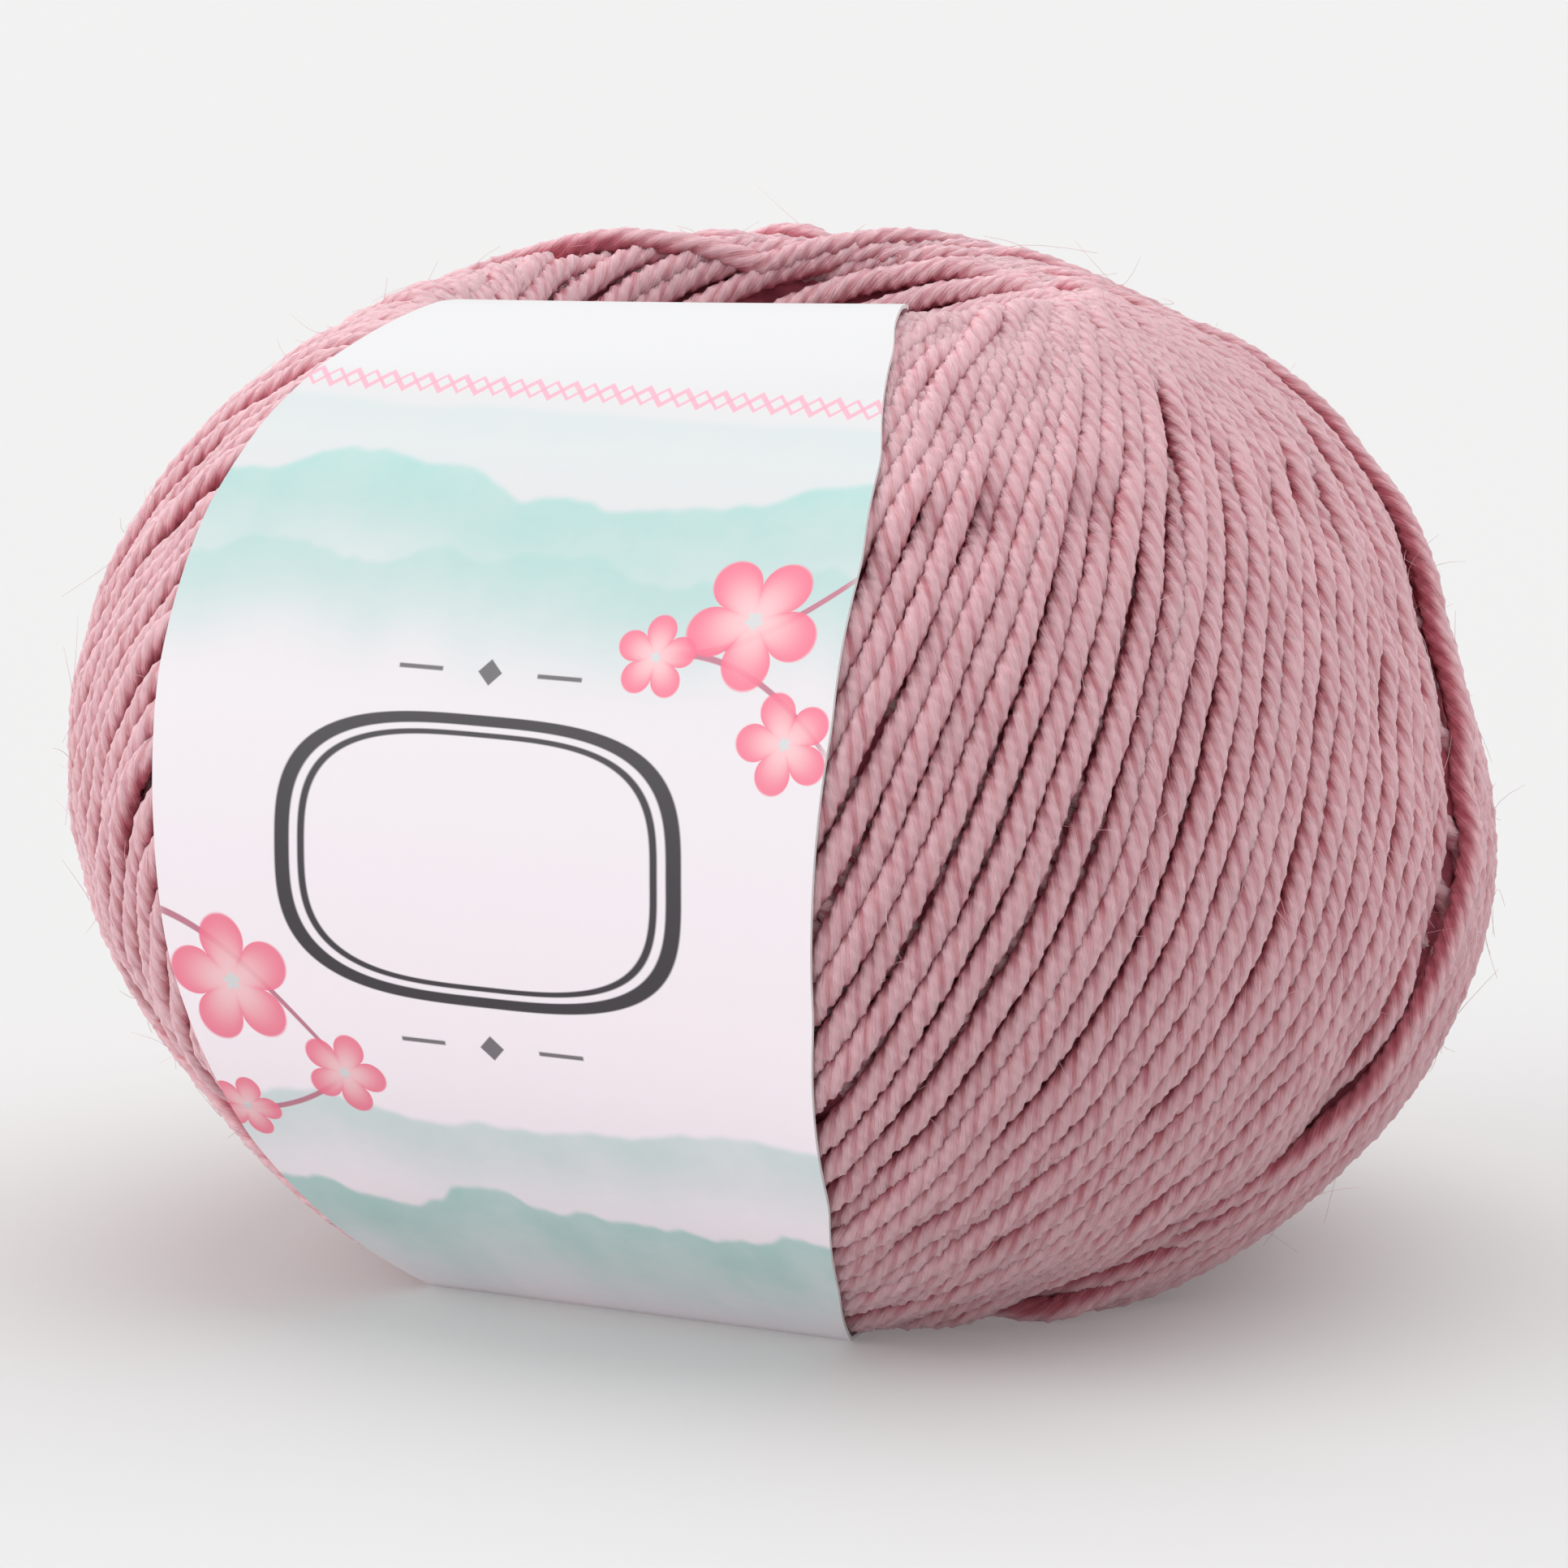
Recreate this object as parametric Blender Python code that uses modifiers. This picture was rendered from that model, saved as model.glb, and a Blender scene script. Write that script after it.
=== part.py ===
"""A machine-wound centre-pull ball of wool yarn with a paper band threaded through its core.

The ball stands with its winding axis upright, and the middle of the band faces -Y. Real sizes are in metres.
Forms are worked out in belly radii, round the winding axis, and are scaled when their points are placed.
"""

import math

import bmesh
import bpy
import numpy as np
from mathutils import Vector
from mathutils.bvhtree import BVHTree

# Real sizes.
BELLY_RADIUS = 0.046
PAPER_THICKNESS = 0.001
CLEARANCE = 0.0005

# The outer form, in belly radii: a rounded superellipse above the belly and an ellipse below it.
BELLY_HEIGHT = 0.635
UPPER_HEIGHT = 0.805
UPPER_ROUNDNESS = 2.23
LOWER_HEIGHT = 0.785
LOWER_ROUNDNESS = 2.0
FLAT_SPOT_RADIUS = 0.585
RIM_HEIGHT = 1.376
RIM_RADIUS = 0.430
CORE_RADIUS = 0.220
# One cut through the wall of the ball, over the rim, down the core and out under the foot.
CORE_CUT = (
    # radius, height
    (0.520, 1.350),
    (0.470, 1.370),
    (RIM_RADIUS, RIM_HEIGHT),
    (0.390, 1.362),
    (0.355, 1.320),
    (0.320, 1.240),
    (0.265, 1.090),
    (0.228, 0.940),
    (CORE_RADIUS, 0.780),
    (CORE_RADIUS, 0.480),
    (0.230, 0.320),
    (0.270, 0.170),
    (0.330, 0.060),
    (0.390, 0.012),
    (RIM_RADIUS, 0.000),
    (FLAT_SPOT_RADIUS, 0.000),
)
# The ball leans: each level is shifted this way by a share of its height above the belly.
LEAN = 0.039
LEAN_HEADING = math.radians(208)

# The band is widest in front and narrows towards both ends.
BAND_WIDTHS = (
    # height, half width
    (0.000, 0.328),
    (0.100, 0.385),
    (0.250, 0.443),
    (0.525, 0.489),
    (0.900, 0.508),
    (1.100, 0.498),
    (1.220, 0.468),
    (1.330, 0.401),
)
# From the near rim it folds into the core, curls to fit inside, and comes back out under the foot.
BAND_THROUGH_CORE = (
    # distance in front of the axis, height, half width, curl (one over the radius it is curled to)
    (0.350, 1.352, 0.378, 0.0),
    (0.300, 1.366, 0.362, 0.0),
    (0.262, 1.370, 0.352, 0.0),
    (0.245, 1.350, 0.310, 1.8),
    (0.250, 1.290, 0.285, 3.0),
    (0.250, 1.190, 0.278, 3.7),
    (0.225, 1.060, 0.275, 4.3),
    (0.196, 0.920, 0.270, 5.1),
    (0.188, 0.750, 0.270, 5.3),
    (0.188, 0.500, 0.270, 5.3),
    (0.198, 0.340, 0.272, 5.0),
    (0.232, 0.190, 0.280, 3.8),
    (0.285, 0.070, 0.290, 2.0),
    (0.335, 0.012, 0.300, 0.5),
    (0.400, 0.000, 0.315, 0.0),
)
# Where it folds over the rim, its right edge lies higher than its left one.
FOLD_START_HEIGHT = 1.28
FOLD_TILT = 0.045
BAND_STATIONS = 60
BAND_STRIPS = 8
SEAT_MARGIN = 0.09
WALL_MIDDLE_RADIUS = 0.58
WALL_MIDDLE_HEIGHT = 0.65
PRESS_PASSES = 4

# The winding: bundles of strands that slant one way in front and the other way behind.
BUNDLES = 60
WALL_ROWS = 40
CORE_ROW_SHARE = 0.5
END_ROW_SHARE = 1.7
END_DEPTH = 0.14
TURN_RADIUS_AT_FOOT = 0.40
TURN_RADIUS_AT_RIM = 0.30
STEEPEST_SINE = 0.90
SLANT_BLEND = 0.9
FRONT_HEADING = math.radians(-52)
VALLEY_DEPTH = 0.026
VALLEY_UNEVENNESS = 0.4
BUNDLE_UNEVENNESS = 0.012
GROOVE_HEADING = math.radians(20)
GROOVE_DEPTH = 0.035
WINDING_SEED = 11

FORM_STEPS = 60
LINE_STEPS = 720
WALL_SMOOTHING = 9
BAND_SMOOTHING = 4
FLOOR_ROUNDING = 0.004
LEAST_ANGLE = 1e-4
MERGE_DISTANCE = 0.00005


def clear_scene():
    for existing in list(bpy.data.objects):
        bpy.data.objects.remove(existing, do_unlink=True)


def new_collection(name):
    collection = bpy.data.collections.new(name)
    bpy.context.scene.collection.children.link(collection)
    return collection


def finish_piece(piece, name, collection, color, roughness):
    """Names a piece, files it in the object's collection and gives it its own material."""
    piece.name = name
    piece.data.name = name
    for holder in list(piece.users_collection):
        holder.objects.unlink(piece)
    collection.objects.link(piece)
    material = bpy.data.materials.new(name)
    material.use_nodes = True
    shader = material.node_tree.nodes["Principled BSDF"]
    shader.inputs["Base Color"].default_value = (*color, 1.0)
    shader.inputs["Roughness"].default_value = roughness
    shader.inputs["Metallic"].default_value = 0.0
    piece.data.materials.append(material)


def belly_radius_at(height):
    """Radius of the outer form at a height."""
    above = height > BELLY_HEIGHT
    share = np.abs(height - BELLY_HEIGHT) / np.where(above, UPPER_HEIGHT, LOWER_HEIGHT)
    power = np.where(above, UPPER_ROUNDNESS, LOWER_ROUNDNESS)
    return np.clip(1.0 - share**power, 0.0, 1.0) ** (1.0 / power)


def resample_loop(points, steps, weights=1.0):
    """Even steps round a closed line. A weight under 1 makes the steps longer on that stretch."""
    closed = np.vstack([points, points[:1]])
    lengths = np.linalg.norm(np.diff(closed[:, :2], axis=0), axis=1) * weights
    along = np.concatenate([[0.0], np.cumsum(lengths)])
    wanted = np.arange(steps) / steps * along[-1]
    columns = [np.interp(wanted, along, closed[:, k]) for k in range(closed.shape[1])]
    return np.column_stack(columns)


def smooth_loop(points, reach):
    """A running mean round a closed line."""
    shifted = [np.roll(points, shift, axis=0) for shift in range(-reach, reach + 1)]
    return np.mean(shifted, axis=0)


def wall_section():
    """Radius and height along one cut through the wall, from the belly up and round through the core."""
    core = np.array(CORE_CUT)
    upper = np.linspace(BELLY_HEIGHT, core[0, 1], FORM_STEPS)[:-1]
    lower = np.linspace(core[-1, 1], BELLY_HEIGHT, FORM_STEPS)[1:-1]
    above = np.column_stack([belly_radius_at(upper), upper])
    below = np.column_stack([belly_radius_at(lower), lower])
    outline = resample_loop(np.vstack([above, core, below]), LINE_STEPS)
    section = smooth_loop(outline, WALL_SMOOTHING)
    in_core = (section[:, 0] < RIM_RADIUS) & (section[:, 1] < RIM_HEIGHT - FLOOR_ROUNDING)
    at_ends = (section[:, 1] > RIM_HEIGHT - END_DEPTH) | (section[:, 1] < FLOOR_ROUNDING)
    weights = np.where(in_core, CORE_ROW_SHARE, 1.0)
    weights[at_ends] = END_ROW_SHARE
    section = resample_loop(section, WALL_ROWS, weights)
    # The flat spot is truly level.
    section[section[:, 1] < FLOOR_ROUNDING, 1] = 0.0
    return section


def slant_along(section):
    """How far round the axis a strand has moved at each row, from the belly.

    Outside it keeps its turning radius, as a taut strand on a round form does. The core takes it back.
    """
    radius, height = section.T
    turn_radius = np.interp(height, [0.0, RIM_HEIGHT], [TURN_RADIUS_AT_FOOT, TURN_RADIUS_AT_RIM])
    sine = np.minimum(turn_radius / radius, STEEPEST_SINE)
    steps = np.linalg.norm(np.roll(section, -1, axis=0) - section, axis=1)
    outside = radius > RIM_RADIUS
    turning = np.where(outside, steps * sine / np.sqrt(1.0 - sine**2) / radius, 0.0)
    inside_steps = np.where(outside, 0.0, steps)
    turning -= turning.sum() * inside_steps / inside_steps.sum()
    return np.concatenate([[0.0], np.cumsum(turning)[:-1]])


def lean_shift(height):
    """Sideways shift of a level."""
    amount = LEAN * (height - BELLY_HEIGHT)
    return Vector((amount * math.cos(LEAN_HEADING), amount * math.sin(LEAN_HEADING), 0.0))


def band_line():
    """The band's outer face along its middle: distance in front, height, half width and curl."""
    widths = np.array(BAND_WIDTHS)
    heights = np.linspace(0.0, widths[-1, 0], FORM_STEPS)
    half_widths = np.interp(heights, widths[:, 0], widths[:, 1])
    # The face is straight across, so its edges lie on the round form and its middle is set into it.
    in_front = np.sqrt(belly_radius_at(heights) ** 2 - half_widths**2)
    face = np.column_stack([in_front, heights, half_widths, np.zeros_like(heights)])
    loop = np.vstack([face, np.array(BAND_THROUGH_CORE)])
    line = smooth_loop(resample_loop(loop, LINE_STEPS), BAND_SMOOTHING)
    line[line[:, 1] < FLOOR_ROUNDING, 1] = 0.0
    return line


def band_point(line, along, across, margin):
    """A point of the band's outer face: along and across it, with a margin to its width."""
    front, height, half_width, curl = line[int(round(along * LINE_STEPS)) % LINE_STEPS]
    side = across * (half_width + margin)
    angle = side * curl
    flat = abs(angle) < LEAST_ANGLE
    x = side if flat else math.sin(angle) / curl
    y = -front if flat else -front + (1.0 - math.cos(angle)) / curl
    point = Vector((x, y, height))
    point.z += FOLD_TILT * side * max(0.0, height - FOLD_START_HEIGHT) / (RIM_HEIGHT - FOLD_START_HEIGHT)
    return point + lean_shift(height)


def roll_band(name, margin=0.0, sink=0.0):
    """A flat strip of paper rolled into the band's closed loop, sunk towards the yarn in metres."""
    bpy.ops.mesh.primitive_grid_add(x_subdivisions=BAND_STRIPS, y_subdivisions=BAND_STATIONS, size=1.0)
    strip = bpy.context.active_object
    strip.name = name
    line = band_line()
    for vertex in strip.data.vertices:
        along = vertex.co.y + 0.5
        across = 2.0 * vertex.co.x
        vertex.co = band_point(line, along, across, margin) * BELLY_RADIUS
    shape = bmesh.new()
    shape.from_mesh(strip.data)
    bmesh.ops.remove_doubles(shape, verts=shape.verts, dist=MERGE_DISTANCE)
    for vertex in shape.verts:
        vertex.normal_update()
    for vertex in shape.verts:
        vertex.co -= vertex.normal * sink
    shape.to_mesh(strip.data)
    shape.free()
    return strip


def make_band():
    """The paper band, thickened towards the yarn."""
    band = roll_band("paper_band")
    paper = band.modifiers.new("paper", "SOLIDIFY")
    paper.thickness = PAPER_THICKNESS
    paper.offset = -1.0
    return band


def valley_depths():
    """Depth of the valley after each bundle, and how far each bundle lies under the outer form."""
    rng = np.random.default_rng(WINDING_SEED)
    valleys = VALLEY_DEPTH * (1.0 + VALLEY_UNEVENNESS * rng.uniform(-1.0, 1.0, BUNDLES))
    lows = BUNDLE_UNEVENNESS * rng.uniform(0.0, 1.0, BUNDLES)
    groove = int(round(GROOVE_HEADING / math.tau * BUNDLES)) % BUNDLES
    valleys[groove] += GROOVE_DEPTH
    return valleys, lows


def wind_ball():
    """The wound form: a ring whose rows follow the wall section and whose columns follow the strands."""
    bpy.ops.mesh.primitive_torus_add(
        major_segments=2 * BUNDLES,
        minor_segments=WALL_ROWS,
        major_radius=1.0,
        minor_radius=0.5,
    )
    ball = bpy.context.active_object
    section = wall_section()
    slant = slant_along(section)
    tangent = np.roll(section, -1, axis=0) - np.roll(section, 1, axis=0)
    tangent /= np.linalg.norm(tangent, axis=1, keepdims=True)
    valleys, lows = valley_depths()
    for vertex in ball.data.vertices:
        turn = math.atan2(vertex.co.y, vertex.co.x) % math.tau
        column = int(round(turn / math.tau * 2 * BUNDLES)) % (2 * BUNDLES)
        round_wall = math.atan2(vertex.co.z, math.hypot(vertex.co.x, vertex.co.y) - 1.0) % math.tau
        row = int(round(round_wall / math.tau * WALL_ROWS)) % WALL_ROWS
        radius, height = section[row]
        # Bundles thin out towards the core, and the flat spot has none.
        relief = min(1.0, radius) if height > FLOOR_ROUNDING else 0.0
        bundle = column // 2
        depth = valleys[bundle] if column % 2 else lows[bundle]
        radius -= depth * relief * tangent[row, 1]
        height += depth * relief * tangent[row, 0]
        facing = math.cos(turn - FRONT_HEADING)
        lay = math.asin(SLANT_BLEND * facing) / math.asin(SLANT_BLEND)
        heading = turn + lay * slant[row]
        place = Vector((radius * math.cos(heading), radius * math.sin(heading), max(height, 0.0)))
        vertex.co = (place + lean_shift(height)) * BELLY_RADIUS
    return ball


def surface_of(piece):
    """A piece's points and the search tree of its surface."""
    points = [vertex.co.copy() for vertex in piece.data.vertices]
    return points, BVHTree.FromPolygons(points, [tuple(face.vertices) for face in piece.data.polygons])


def press_under_band(ball):
    """Presses the yarn in where the band lies on it, a clearance under the paper.

    Each point moves straight towards the middle of the wall, so that neighbours never meet.
    """
    seat = roll_band("band_seat", SEAT_MARGIN, PAPER_THICKNESS + CLEARANCE)
    _, seat_surface = surface_of(seat)
    for vertex in ball.data.vertices:
        from_axis = vertex.co / BELLY_RADIUS - lean_shift(vertex.co.z / BELLY_RADIUS)
        heading = math.atan2(from_axis.y, from_axis.x)
        middle = Vector((WALL_MIDDLE_RADIUS * math.cos(heading), WALL_MIDDLE_RADIUS * math.sin(heading), 0.0))
        middle.z = WALL_MIDDLE_HEIGHT
        inward = (middle + lean_shift(WALL_MIDDLE_HEIGHT)) * BELLY_RADIUS - vertex.co
        hit, _, _, _ = seat_surface.ray_cast(vertex.co, inward.normalized(), inward.length)
        if hit is not None:
            vertex.co = hit
    bpy.data.objects.remove(seat, do_unlink=True)


def yield_to_band(ball):
    """Lets the yarn's faces give way where a corner of the band still reaches into them."""
    seat = roll_band("band_seat", 0.0, PAPER_THICKNESS + CLEARANCE)
    corners, _ = surface_of(seat)
    middles = [face.center.copy() for face in seat.data.polygons]
    edges = [(corners[edge.vertices[0]] + corners[edge.vertices[1]]) / 2 for edge in seat.data.edges]
    for _ in range(PRESS_PASSES):
        _, yarn_surface = surface_of(ball)
        moves = {}
        for point in corners + middles + edges:
            nearest, normal, index, _ = yarn_surface.find_nearest(point)
            if (point - nearest).dot(normal) >= 0:
                continue
            for corner in ball.data.polygons[index].vertices:
                if (point - nearest).length > moves.get(corner, Vector()).length:
                    moves[corner] = point - nearest
        for corner, move in moves.items():
            ball.data.vertices[corner].co += move
    bpy.data.objects.remove(seat, do_unlink=True)


def centre_on_foot(pieces):
    """Moves the pieces together so that the middle of their footprint is the origin."""
    places = np.array([vertex.co for piece in pieces for vertex in piece.data.vertices])
    middle = (places.min(axis=0) + places.max(axis=0)) / 2
    offset = Vector((middle[0], middle[1], 0.0))
    for piece in pieces:
        for vertex in piece.data.vertices:
            vertex.co -= offset


clear_scene()
parts = new_collection("Ball of yarn")
yarn_ball = wind_ball()
press_under_band(yarn_ball)
yield_to_band(yarn_ball)
paper_band = make_band()
centre_on_foot([yarn_ball, paper_band])
finish_piece(yarn_ball, "yarn_ball", parts, (0.58, 0.28, 0.31), 0.9)
finish_piece(paper_band, "paper_band", parts, (0.88, 0.86, 0.89), 0.55)
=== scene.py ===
"""A machine-wound centre-pull ball of four-ply wool with a printed paper band through its core.

The strands are wound as they are on the machine: each loop lies in a tilted plane that touches the mouth on
one side and the foot on the other, and each new loop lies on the ones before it. Sizes are in metres.
"""

import math

import bmesh
import bpy
import numpy as np
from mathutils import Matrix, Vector
from mathutils.bvhtree import BVHTree


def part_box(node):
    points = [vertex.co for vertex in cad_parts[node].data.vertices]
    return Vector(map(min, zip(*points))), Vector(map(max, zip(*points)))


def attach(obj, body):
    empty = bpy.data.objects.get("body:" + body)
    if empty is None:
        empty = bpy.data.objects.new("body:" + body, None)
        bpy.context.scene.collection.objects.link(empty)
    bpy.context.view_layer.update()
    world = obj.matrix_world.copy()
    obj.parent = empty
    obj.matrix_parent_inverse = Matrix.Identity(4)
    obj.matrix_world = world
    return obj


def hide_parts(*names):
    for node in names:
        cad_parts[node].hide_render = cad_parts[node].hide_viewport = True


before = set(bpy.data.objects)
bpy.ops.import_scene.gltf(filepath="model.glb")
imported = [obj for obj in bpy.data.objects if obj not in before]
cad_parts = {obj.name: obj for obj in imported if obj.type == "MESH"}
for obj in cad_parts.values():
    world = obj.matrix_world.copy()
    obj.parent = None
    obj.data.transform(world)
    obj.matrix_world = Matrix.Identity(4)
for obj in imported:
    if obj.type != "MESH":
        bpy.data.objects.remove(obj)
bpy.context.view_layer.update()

# The form, from the frame. Forms are worked out in belly radii, round the winding axis.
ball_low, ball_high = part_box("yarn_ball")
BELLY = (ball_high[0] - ball_low[0]) / 2
AXIS = Vector(((ball_high[0] + ball_low[0]) / 2, ball_high[1] - BELLY, 0.0))
BELLY_HEIGHT = 0.635
UPPER_HEIGHT = 0.805
UPPER_ROUNDNESS = 2.23
LOWER_HEIGHT = 0.785
LOWER_ROUNDNESS = 2.0
RIM_HEIGHT = 1.376
RIM_RADIUS = 0.430
SHOULDER_HEIGHT = 1.350
CORE_CUT = (
    # radius, height: over the rim, down the core and out under the foot
    (0.520, SHOULDER_HEIGHT),
    (0.470, 1.370),
    (RIM_RADIUS, RIM_HEIGHT),
    (0.390, 1.362),
    (0.355, 1.320),
    (0.320, 1.240),
    (0.265, 1.090),
    (0.228, 0.940),
    (0.220, 0.780),
    (0.220, 0.480),
    (0.230, 0.320),
    (0.270, 0.170),
    (0.330, 0.060),
    (0.390, 0.012),
    (RIM_RADIUS, 0.000),
    (0.585, 0.000),
)
LEAN = 0.039
LEAN_HEADING = math.radians(208)
FORM_STEPS = 60
LINE_STEPS = 720
SWELLINGS = (
    # amount in metres, height, spread of heights, heading
    (-0.0013, 0.86, 0.18, math.radians(28)),
    (0.0007, 0.76, 0.18, math.radians(208)),
    (-0.0012, 0.26, 0.16, math.radians(208)),
)
RIM_LIFTS = (
    # amount in metres, heading, half the reach
    (0.0019, math.radians(118), math.radians(90)),
    (0.0009, math.radians(-20), math.radians(42)),
)
LIFT_START = 0.90
CREASES = (
    # a loop is left sunken: heading at the belly, depth and spread in metres
    (math.radians(2.5), 0.0034, 0.0013),
    (math.radians(6.6), 0.0016, 0.0009),
    (math.radians(10.0), -0.0006, 0.0030),
)
CREASE_RADII = (0.45, 0.62)

# The band, as in the frame: widest in front, folded over the near rim and curled to fit the core.
BAND_WIDTHS = (
    # height, half width
    (0.000, 0.328),
    (0.100, 0.385),
    (0.250, 0.443),
    (0.525, 0.489),
    (0.900, 0.508),
    (1.100, 0.498),
    (1.220, 0.468),
    (1.330, 0.401),
)
BAND_THROUGH_CORE = (
    # distance in front of the axis, height, half width, curl (one over the radius it is curled to)
    (0.350, 1.352, 0.378, 0.0),
    (0.300, 1.366, 0.362, 0.0),
    (0.262, 1.370, 0.352, 0.0),
    (0.245, 1.350, 0.310, 1.8),
    (0.250, 1.290, 0.285, 3.0),
    (0.250, 1.190, 0.278, 3.7),
    (0.225, 1.060, 0.275, 4.3),
    (0.196, 0.920, 0.270, 5.1),
    (0.188, 0.750, 0.270, 5.3),
    (0.188, 0.500, 0.270, 5.3),
    (0.198, 0.340, 0.272, 5.0),
    (0.232, 0.190, 0.280, 3.8),
    (0.285, 0.070, 0.290, 2.0),
    (0.335, 0.012, 0.300, 0.5),
    (0.400, 0.000, 0.315, 0.0),
)
FOLD_START_HEIGHT = 1.28
FOLD_TILT = 0.045
BAND_SMOOTHING = 4
FLOOR_ROUNDING = 0.004
LEAST_ANGLE = 1e-4
PAPER_THICKNESS = 0.00025
PAPER_STATIONS = 200
PAPER_STRIPS = 24
PAPER_EDGE_ANGLE = math.radians(40)
MILLIMETRES = 1000
PRESS_MARGIN = 0.09
WALL_MIDDLE = (0.58, 0.65)

# The yarn.
STRAND_RADIUS = 0.00096
PLIES = 4
PLY_SHAPE = (0.82, 0.95, 1.0, 0.95)
PLY_LEAD = 0.0072
STRAND_FLATNESS = 0.92
RING_STEP = 0.00085
THICKNESS_CHANGE = 0.035
THICKNESS_SPREAD = 2.0
THICKNESS_REACH = 3

# The winding. Lengths are in metres. TOUCHING, TAUTNESS and WOBBLE_REACH count samples of a loop.
LOOPS = 137
MOUTH_TURN_RADIUS = 0.356
MOUTH_TURN_HEIGHT = 1.320
MOUTH_LIP = (0.368, 1.344)
MOUTH_SLOPE = 0.42
FOOT_SLOPE = 0.72
LAST_HEADING = math.radians(29)
GROOVE_HEADING = math.radians(20)
GROOVE_PITCHES = 0.2
PITCH_JITTER = 0.12
PITCH_DRIFT = 0.20
DRIFT_REACH = 3
WINDING_SEED = 11
WOBBLE = 0.0008
WOBBLE_REACH = 14
PATH_STEP = 0.00025
CELL = 0.0005
CELL_MARGIN = 6
TURN_CELLS = 720
CONTACT_RADIUS = 0.0006
CONTACT_SHARE = 0.98
MOST_RELIEF = 0.0018
TOUCHING = 5
TAUTNESS = 10
LEVEL_REACH = 0.005
TURN_REACH = 0.012
TURN_BLEND = 0.005
PROUD_SHARE = 0.15
LIFT = 0.0002
SHOWING_DEPTH = 0.00105
LEAST_RUN = 0.0015
RUN_OVERLAP = 0.0032
HIDDEN_UNDER_BAND = 0.085
STRAND_PIECES = 4

# The core's lining and the wool beneath the strands.
LINING_STRANDS = 20
LINING_STEP = 0.0010
LINING_SAMPLES = 400
LINING_SLANTS = (0.3, 0.8)
LINING_JITTER = 0.25
LINING_UNEVENNESS = 0.0003
LINING_SMOOTHING = 2
LINING_TUCK = 0.0045
LINING_TUCK_DEPTH = 0.0018
UNDERLAYER_DEPTH = 0.0019
UNDERLAYER_SEGMENTS = 240
UNDERLAYER_ROWS = 64

# Loose fibres.
FIBRES = 1500
FIBRE_THICKNESS = 0.000022
FIBRE_LENGTHS = (0.0010, 0.0034)
FIBRE_SEGMENTS = 4
FIBRE_SIDES = 3
FIBRE_CLEARANCE = 0.05
# How a hair starts, heads and bends, as shares of the strand's radius or of the hair's length.
FIBRE_ROOT = 0.85
FIBRE_ROOT_SPREAD = 0.6
FIBRE_SWERVE = 1.1
FIBRE_RISES = (0.05, 0.4)
FIBRE_BEND = 1.6
FIBRE_DROOP = 0.8
FIBRE_CURVE = 0.35

# Colours, as linear red, green and blue.
LIT_WOOL = (0.98, 0.57, 0.62, 1.0)
# The deep wool colour is random tone, and painted shade in the furrows between plies.
DEEP_WOOL_AND_FURROW_SHADE = (0.60, 0.16, 0.21, 1.0)
# Painted shade for the valleys between strands.
VALLEY_PAINTED_SHADE = (0.56, 0.12, 0.165, 1.0)
# The wool deep in the gaps, painted dark for the shade it lies in.
GAP_WOOL_PAINTED_SHADE = (0.58, 0.13, 0.18, 1.0)
GAP_SHADE = (0.34, 0.065, 0.095, 1.0)
FIBRE_PALE = (0.86, 0.62, 0.64, 1.0)
FIBRE_DARK = (0.70, 0.36, 0.40, 1.0)
# The paper's white, dimmed as painted shade for the top of the band.
PAPER_WHITE_PAINTED_SHADE = (0.64, 0.64, 0.65, 1.0)
PAPER_LAVENDER = (0.94, 0.855, 0.91, 1.0)
PAPER_BACK = (0.78, 0.77, 0.76, 1.0)
MINT = (0.38, 0.61, 0.58, 1.0)
STEM = (0.52, 0.20, 0.27, 1.0)
PETAL_DEEP = (0.86, 0.16, 0.26, 1.0)
PETAL_PALE = (0.88, 0.52, 0.55, 1.0)
BORDER_PINK = (0.84, 0.36, 0.46, 1.0)
CHARCOAL = (0.05, 0.043, 0.05, 1.0)
WOOL_SHEEN = (1.0, 0.73, 0.77, 1.0)
FLOOR_GREY = (0.49, 0.49, 0.49, 1.0)
FLOOR_GLOW = (1.0, 0.99, 0.98, 1.0)
ROOM_WHITE = (1.0, 1.0, 1.0, 1.0)

# The wool's finish, with painted shade between plies and between strands. Grains are counted round the strand
# and per metre along it. Sides say which way a point
# of the strand faces: 1 is outwards, 0 is sideways.
LIE_GRAIN = (36.0, 480.0)
PATCH_GRAIN = (3.0, 330.0)
LIE_MIDDLE = 0.52
LIE_STRENGTH = 1.5
PATCH_STRENGTH = 0.6
# Painted shade in the furrows between plies: how far off a ply's middle it begins and ends, and how deep it
# goes.
PLY_FURROW_SHADE = (0.16, 0.5)
FURROW_SHADE_DEPTHS = (0.30, 0.80)
# Painted shade in the valleys between strands: the sides it spans, how uneven it is and how strong.
VALLEY_SHADE_SIDES = (0.85, -0.1)
VALLEY_SHADE_UNEVENNESS = 0.4
VALLEY_SHADE_STRENGTH = 0.85
SHEEN_SIDES = (0.1, 0.9)
LIGHT_SPREAD = (1.0, 0.5, 0.55)
LIGHT_SPREAD_SCALE = 0.0009

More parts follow.
